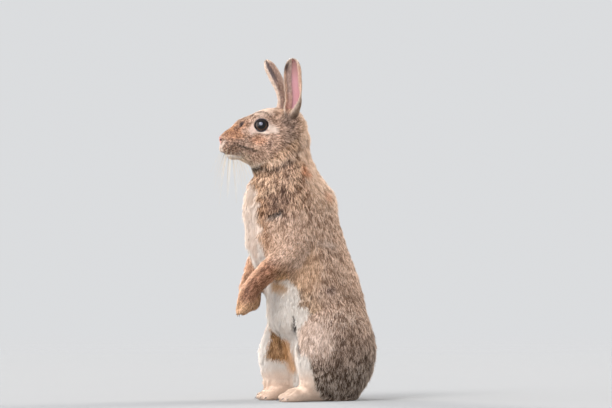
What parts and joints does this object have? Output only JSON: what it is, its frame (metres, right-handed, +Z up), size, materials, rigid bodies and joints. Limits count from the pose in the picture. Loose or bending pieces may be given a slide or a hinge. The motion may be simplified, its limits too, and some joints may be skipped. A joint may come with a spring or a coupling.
{
  "type": "rabbit",
  "caption": "Wild rabbit sitting bolt upright on its haunches, ears raised and forepaws hanging, as a still life-size model.",
  "frame": {"origin": "on the floor, at the middle of the box round the whole rabbit", "axes": "+Z up, the rabbit looks along -X and its left side faces -Y"},
  "size_m": [0.181, 0.1424, 0.3921],
  "materials": {
    "coat": "short grey-brown fur flecked with black",
    "coat_rust": "short rust-brown fur",
    "coat_pale": "soft off-white fur",
    "ear": "thin skin with very short fur, pink inside",
    "eye": "wet and glossy, dark brown",
    "nose": "bare matt skin",
    "claw": "dark horn",
    "whisker": "stiff pale hair"
  },
  "bodies": {
    "root": {"head": "coat", "neck": "coat_rust", "torso": "coat", "tail": "coat_pale", "forepaw_left": "coat_rust", "forepaw_right": "coat_rust", "foreleg_left": "coat_rust", "foreleg_right": "coat_rust", "hindfoot_left": "coat_pale", "hindfoot_right": "coat_pale", "hindleg_left": "coat", "hindleg_right": "coat", "ear_left": "ear", "ear_right": "ear", "eye_left": "eye", "eye_right": "eye"}
  },
  "joints": []
}
